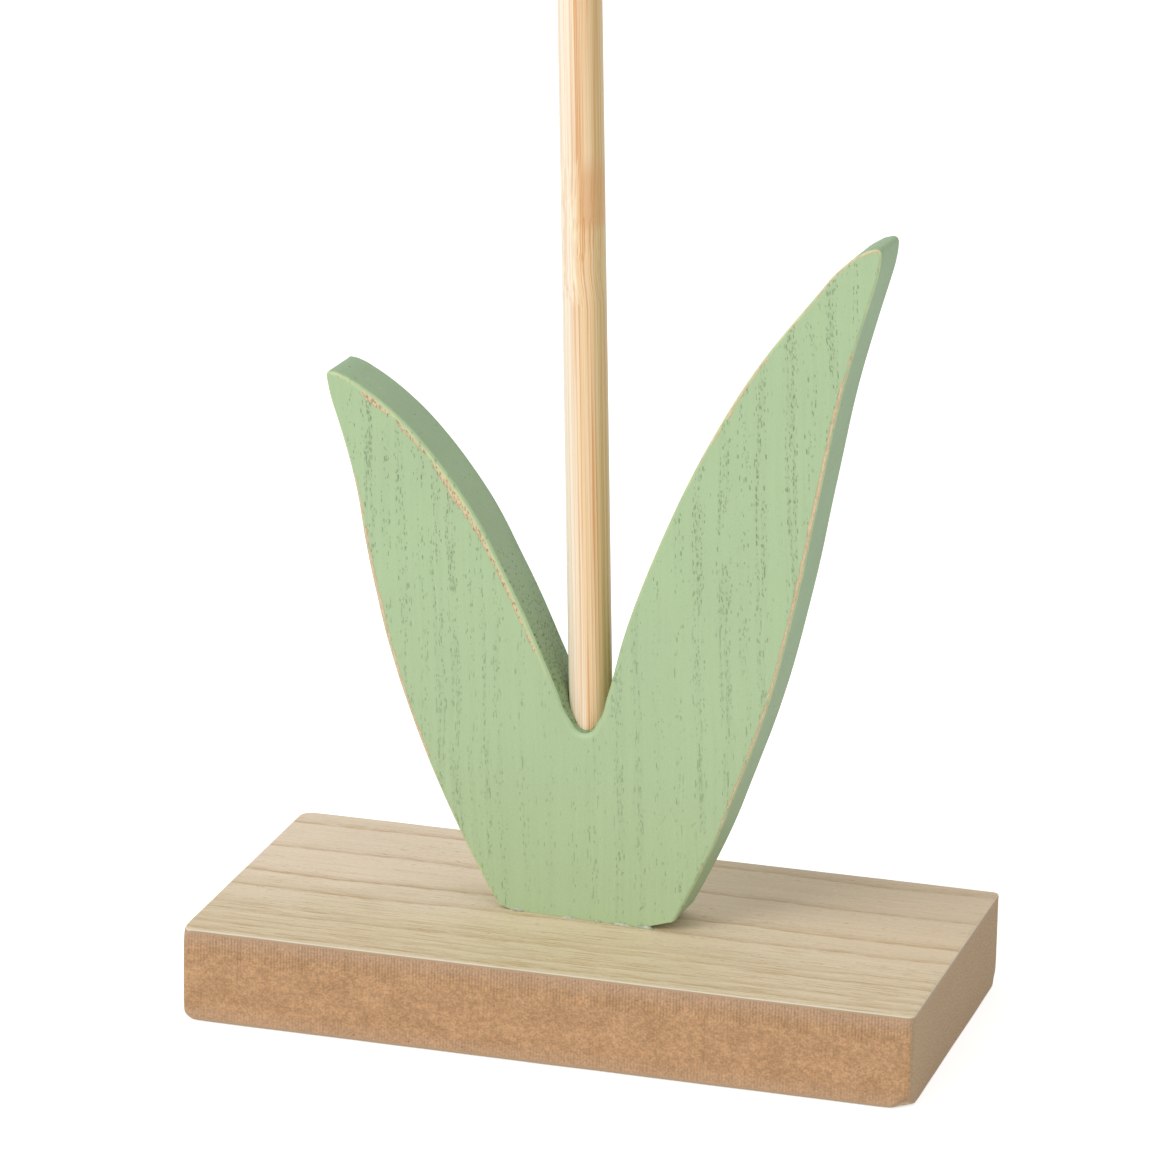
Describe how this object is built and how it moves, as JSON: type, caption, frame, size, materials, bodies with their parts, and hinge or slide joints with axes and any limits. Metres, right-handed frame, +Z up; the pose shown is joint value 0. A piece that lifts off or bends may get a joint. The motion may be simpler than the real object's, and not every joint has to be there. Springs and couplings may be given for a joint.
{
  "type": "wooden tulip ornament",
  "caption": "Standing wooden tulip: a painted V-shaped sawn leaf and a bamboo stem with a sawn blossom, screwed to a rectangular veneered board.",
  "frame": {"origin": "on the surface that the base stands on, under the middle of the base", "axes": "+Z up, +X to the right along the base's long side, -Y to the front, where the leaf's worn face looks"},
  "size_m": [0.14, 0.07, 0.3372],
  "materials": {
    "base_wood_skin": "bare sanded veneer with fine brown growth lines",
    "base_fibreboard": "bare sawn fibreboard edge",
    "leaf_paint": "thin matt sage green paint over open pores, rubbed through at the edges",
    "leaf_edge_paint": "matt sage green paint on the sawn edge",
    "bamboo": "bare smooth bamboo",
    "blossom_paint": "thin matt rose paint over open pores, rubbed through at the edges",
    "blossom_edge_paint": "matt rose paint on the sawn edge",
    "screw_steel": "zinc plated",
    "clear_glue": "cloudy clear set glue"
  },
  "bodies": {
    "root": {"base_bottom_veneer": "base_wood_skin", "base_core": "base_fibreboard", "base_top_veneer": "base_wood_skin", "leaf_front_veneer": "leaf_paint", "leaf_core": "leaf_edge_paint", "leaf_back_veneer": "leaf_paint", "stem": "bamboo", "blossom_front_veneer": "blossom_paint", "blossom_core": "blossom_edge_paint", "blossom_back_veneer": "blossom_paint", "base_screws": "screw_steel", "foot_glue": "clear_glue"}
  },
  "joints": []
}
